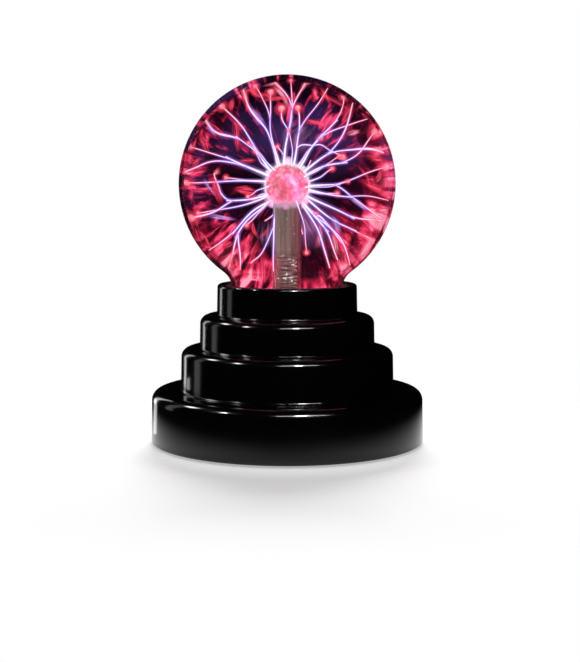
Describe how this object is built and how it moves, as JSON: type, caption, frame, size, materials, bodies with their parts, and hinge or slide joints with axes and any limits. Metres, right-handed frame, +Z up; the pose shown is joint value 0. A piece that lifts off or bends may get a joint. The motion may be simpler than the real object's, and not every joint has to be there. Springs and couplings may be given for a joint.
{
  "type": "plasma ball",
  "caption": "Battery-powered plasma ball: a glass globe with a central stem and round electrode on a glossy black stepped base, lit, with a slide switch and power socket at the rear.",
  "frame": {"origin": "centre of the base's footprint, on the surface that the feet stand on", "axes": "+Z up along the globe's axis, front towards -Y, switch and socket at the rear, +Y"},
  "size_m": [0.097, 0.097, 0.1298],
  "materials": {
    "black_gloss": "gloss",
    "black_matte": "satin",
    "feet": "matte",
    "steel": "satin",
    "switch_steel": "satin",
    "tinned": "satin",
    "clear_glass": "polished",
    "stem_glass": "polished",
    "lit_electrode": "gloss",
    "brown_lining": "satin",
    "spring_wire": "satin",
    "yellow_brass": "satin",
    "white_insulation": "satin",
    "silicone": "satin",
    "board_laminate": "satin",
    "ferrite": "matte",
    "bobbin_black": "satin",
    "yellow_tape": "satin",
    "epoxy_black": "matte",
    "sink_aluminium": "satin",
    "can_sleeve": "gloss",
    "film_case": "gloss",
    "resistor_body": "satin",
    "diode_body": "satin",
    "switch_black": "satin",
    "knob_black": "satin",
    "socket_black": "satin",
    "cell_jacket": "gloss",
    "plated_contact": "satin",
    "red_insulation": "satin",
    "black_insulation": "satin",
    "white_wire": "satin"
  },
  "bodies": {
    "body": {"base_shell": "black_gloss", "battery_cells": "cell_jacket", "battery_lead_black": "black_insulation", "battery_lead_red": "red_insulation", "battery_springs": "spring_wire", "board_screws": "steel", "bottom_cover": "black_matte", "circuit_board": "board_laminate", "component_legs": "steel", "conductive_lining": "brown_lining", "contact_coil": "spring_wire", "contact_plates": "plated_contact", "cover_screws": "steel", "diodes": "diode_body", "driver_transistor": "epoxy_black", "electrode_ball": "lit_electrode", "electrolytic_capacitors": "can_sleeve", "film_capacitor": "film_case", "glass_globe": "clear_glass", "glass_stem": "stem_glass", "heat_sink": "sink_aluminium", "heat_sink_screw": "steel", "high_voltage_lead": "white_insulation", "lead_terminal": "yellow_brass", "neck_adhesive": "silicone", "resistors": "resistor_body", "rubber_feet": "feet", "socket_body": "socket_black", "socket_contact": "tinned", "socket_lead_black": "black_insulation", "socket_lead_red": "red_insulation", "socket_pin": "tinned", "switch_body": "switch_black", "switch_frame": "switch_steel", "switch_leads": "white_wire", "switch_screws": "steel", "switch_terminals": "tinned", "transformer_bobbin": "bobbin_black", "transformer_core": "ferrite", "transformer_pins": "steel", "transformer_winding": "yellow_tape", "transistor_legs": "steel"},
    "door": {"battery_door": "black_matte"},
    "knob": {"switch_knob": "knob_black"}
  },
  "joints": [
    {"name": "door_hinge", "type": "hinge", "parent": "body", "child": "door", "pos_m": [-0.0255, 0, 0.0016], "axis": [0, 1, 0], "range_deg": [0, 55]},
    {"name": "switch_slide", "type": "slide", "parent": "body", "child": "knob", "axis": [1, 0, 0], "range_m": [-0.004, 0]}
  ]
}
